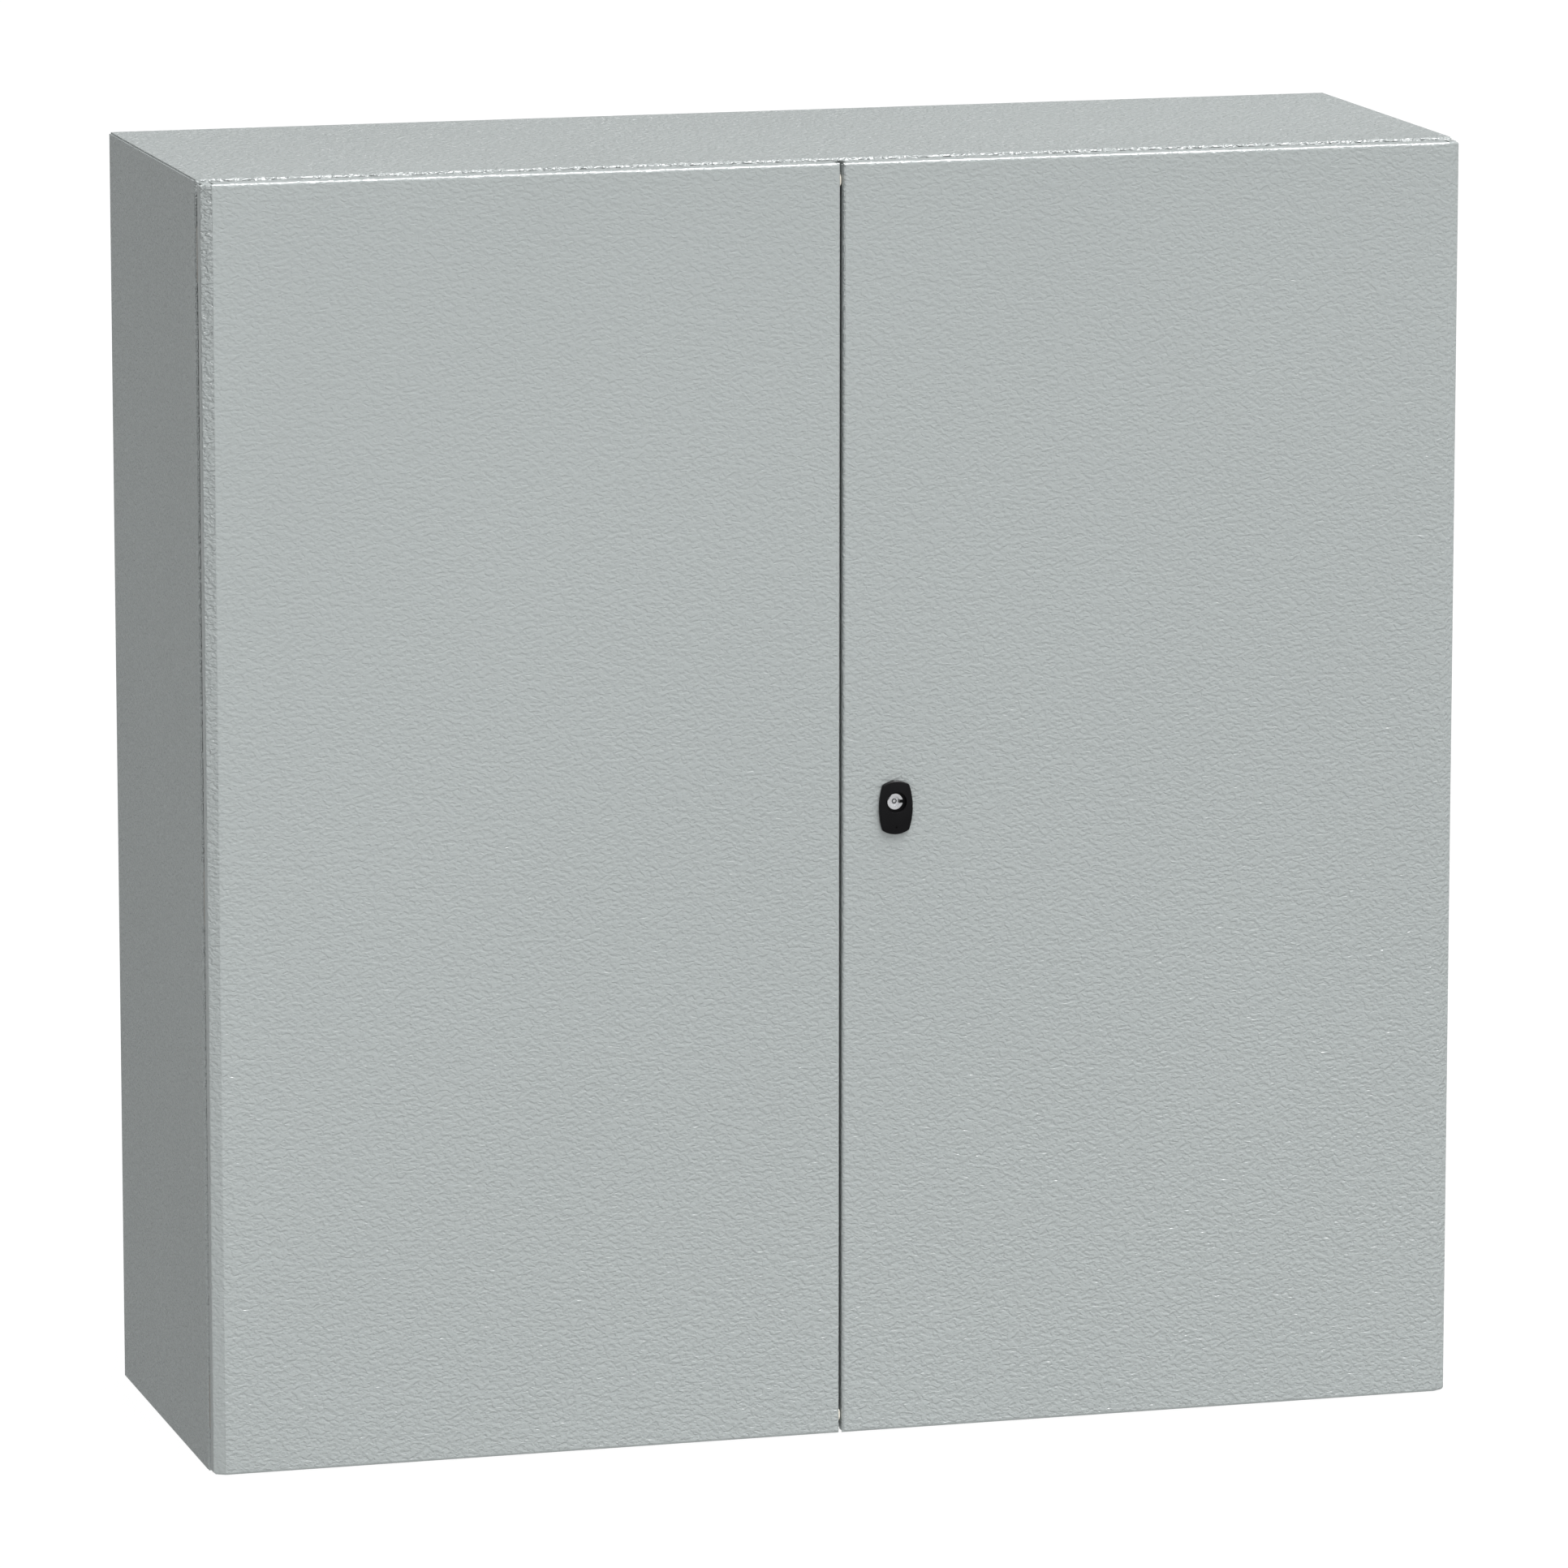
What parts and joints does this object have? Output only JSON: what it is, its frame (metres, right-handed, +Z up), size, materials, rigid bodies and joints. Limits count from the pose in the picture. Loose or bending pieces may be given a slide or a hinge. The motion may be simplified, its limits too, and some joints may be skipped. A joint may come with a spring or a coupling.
{
  "type": "industrial switchboard cabinet",
  "caption": "Wall-mounted sheet-steel switchboard cabinet with two hinged doors, a key-operated rod lock and a mounting plate inside.",
  "frame": {"origin": "centre of the base face", "axes": "+X to the right seen from the front, +Y to the back, +Z up; the doors face -Y"},
  "size_m": [1.2, 0.4049, 1.2],
  "materials": {
    "cabinet_paint": "satin textured powder coat",
    "door_paint": "satin textured powder coat",
    "gland_plate_steel": "zinc-plated sheet",
    "flat_rubber": "matte",
    "hinge_zinc": "die-cast, dull",
    "pin_steel": "bright drawn",
    "fixing_zinc": "zinc plated",
    "plate_galvanised": "galvanised spangle",
    "earth_brass": "plain",
    "gasket_foam": "foamed in place, open-pored",
    "pad_foam": "soft foam",
    "channel_paint": "satin powder coat",
    "rail_zinc": "zinc-plated sheet",
    "guide_zinc": "zinc-plated casting",
    "rod_steel": "zinc plated",
    "lock_black_plastic": "fine satin",
    "lock_black_metal": "black coated die-casting",
    "insert_metal": "dull nickel",
    "cam_zinc": "zinc plated",
    "case_zinc": "zinc-plated sheet",
    "guide_plastic": "glass-filled nylon"
  },
  "bodies": {
    "body": {"rear_panel": "cabinet_paint", "left_side_panel": "cabinet_paint", "right_side_panel": "cabinet_paint", "top_panel": "cabinet_paint", "bottom_panel": "cabinet_paint", "left_gland_plate": "gland_plate_steel", "right_gland_plate": "gland_plate_steel", "left_gland_gasket": "flat_rubber", "right_gland_gasket": "flat_rubber", "gland_screws": "fixing_zinc", "left_body_hinges": "hinge_zinc", "right_body_hinges": "hinge_zinc", "left_hinge_pins": "pin_steel", "right_hinge_pins": "pin_steel", "left_hinge_screws": "fixing_zinc", "right_hinge_screws": "fixing_zinc", "mounting_plate": "plate_galvanised", "mounting_plate_studs": "fixing_zinc", "mounting_plate_spacers": "fixing_zinc", "mounting_plate_washers": "fixing_zinc", "mounting_plate_nuts": "fixing_zinc", "body_earth_stud": "earth_brass"},
    "left_door": {"left_door_panel": "door_paint", "left_door_gasket": "gasket_foam", "centre_channel": "channel_paint", "meeting_edge_pads": "pad_foam", "left_door_rails": "rail_zinc", "left_door_hinge_leaves": "hinge_zinc", "left_door_earth_stud": "earth_brass", "upper_bolt_guide": "guide_zinc", "lower_bolt_guide": "guide_zinc"},
    "right_door": {"right_door_panel": "door_paint", "right_door_gasket": "gasket_foam", "right_door_rails": "rail_zinc", "right_door_hinge_leaves": "hinge_zinc", "right_door_earth_stud": "earth_brass", "lock_escutcheon": "lock_black_plastic", "lock_barrel": "lock_black_metal", "lock_nut": "lock_black_metal", "lock_case": "case_zinc", "upper_rod_guide": "guide_plastic", "lower_rod_guide": "guide_plastic"},
    "upper_bolt": {"upper_bolt": "rod_steel"},
    "lower_bolt": {"lower_bolt": "rod_steel"},
    "lock": {"lock_insert": "insert_metal", "lock_cam": "cam_zinc", "lock_cam_screw": "fixing_zinc"},
    "upper_rod": {"upper_rod": "rod_steel"},
    "lower_rod": {"lower_rod": "rod_steel"}
  },
  "joints": [
    {"name": "left_door_hinge", "type": "hinge", "parent": "body", "child": "left_door", "pos_m": [-0.5962, -0.18, 0.6], "axis": [0, 0, -1], "range_deg": [0, 120]},
    {"name": "right_door_hinge", "type": "hinge", "parent": "body", "child": "right_door", "pos_m": [0.5962, -0.18, 0.6], "axis": [0, 0, 1], "range_deg": [0, 120]},
    {"name": "upper_bolt_slide", "type": "slide", "parent": "left_door", "child": "upper_bolt", "axis": [0, 0, 1], "range_m": [0, 0.015]},
    {"name": "lower_bolt_slide", "type": "slide", "parent": "left_door", "child": "lower_bolt", "axis": [0, 0, -1], "range_m": [0, 0.015]},
    {"name": "lock_turn", "type": "hinge", "parent": "right_door", "child": "lock", "pos_m": [0.052, -0.17, 0.601], "axis": [0, -1, 0], "range_deg": [0, 90]},
    {"name": "upper_rod_slide", "type": "slide", "parent": "right_door", "child": "upper_rod", "axis": [0, 0, 1], "range_m": [0, 0.018]},
    {"name": "lower_rod_slide", "type": "slide", "parent": "right_door", "child": "lower_rod", "axis": [0, 0, -1], "range_m": [0, 0.018]}
  ],
  "couplings": [
    {"joint": "lock_turn", "follows": "upper_rod_slide", "rad_per_m": 87.266},
    {"joint": "lower_rod_slide", "follows": "upper_rod_slide", "ratio": 1}
  ]
}
